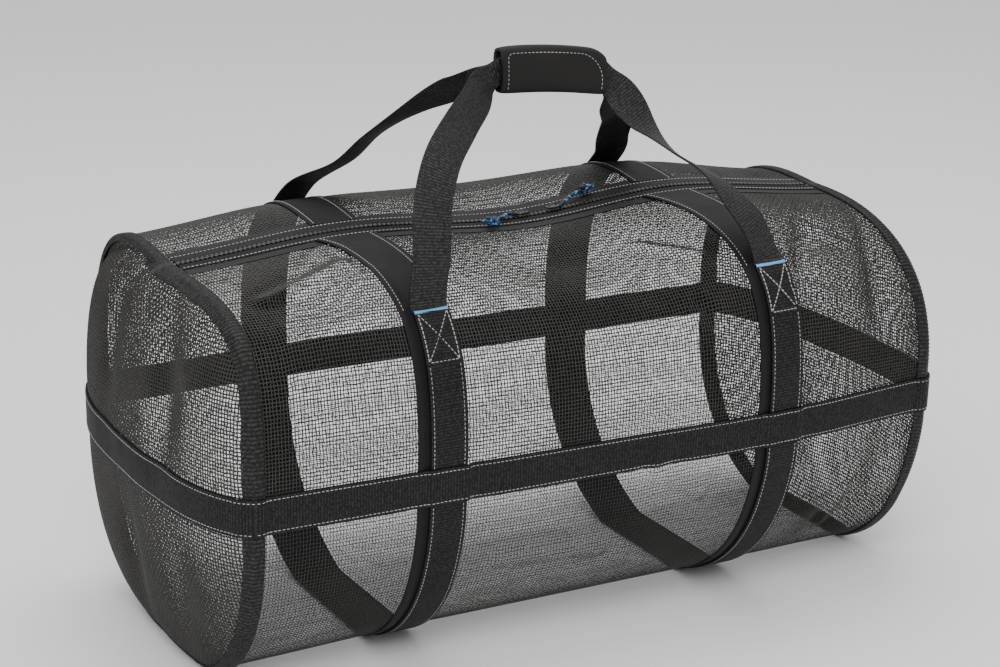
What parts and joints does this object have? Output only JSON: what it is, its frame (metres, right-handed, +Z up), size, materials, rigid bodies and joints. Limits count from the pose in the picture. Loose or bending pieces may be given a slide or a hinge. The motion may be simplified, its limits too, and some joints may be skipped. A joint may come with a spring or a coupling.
{
  "type": "mesh duffel bag",
  "caption": "Long barrel-shaped bag of open mesh with a zipped top, webbing straps all round, a girth band and two carry handles joined by a padded grip.",
  "frame": {"origin": "centre of the bag's bounding box, on the surface that the bag rests on", "axes": "+X along the bag to the right as seen from the front, -Y towards the front, +Z up"},
  "size_m": [0.8508, 0.4554, 0.5868],
  "materials": {
    "mesh": "open woven mesh of black plastic-coated strands",
    "webbing": "ribbed black webbing with a slight sheen",
    "fabric": "black woven fabric, matte",
    "padding": "smooth charcoal fabric over padding, matte",
    "teeth": "moulded black plastic teeth",
    "slider": "black enamelled metal",
    "cord": "braided dark cord flecked with blue"
  },
  "bodies": {
    "root": {"upper_front_mesh": "mesh", "upper_back_mesh": "mesh", "lower_mesh": "mesh", "end_panel_left": "mesh", "end_panel_right": "mesh", "end_binding_left": "fabric", "end_binding_right": "fabric", "girth_band": "webbing", "strip_left": "fabric", "strip_right": "fabric", "strap_left": "webbing", "strap_right": "webbing", "zipper_tape_front": "fabric", "zipper_tape_back": "fabric", "zipper_chain": "teeth", "zipper_slider_left": "slider", "zipper_slider_right": "slider", "pull_cord_left": "cord", "pull_cord_right": "cord", "pull_knot_left": "cord", "pull_knot_right": "cord", "handle_front": "webbing", "handle_back": "webbing", "grip_wrap": "padding"}
  },
  "joints": []
}
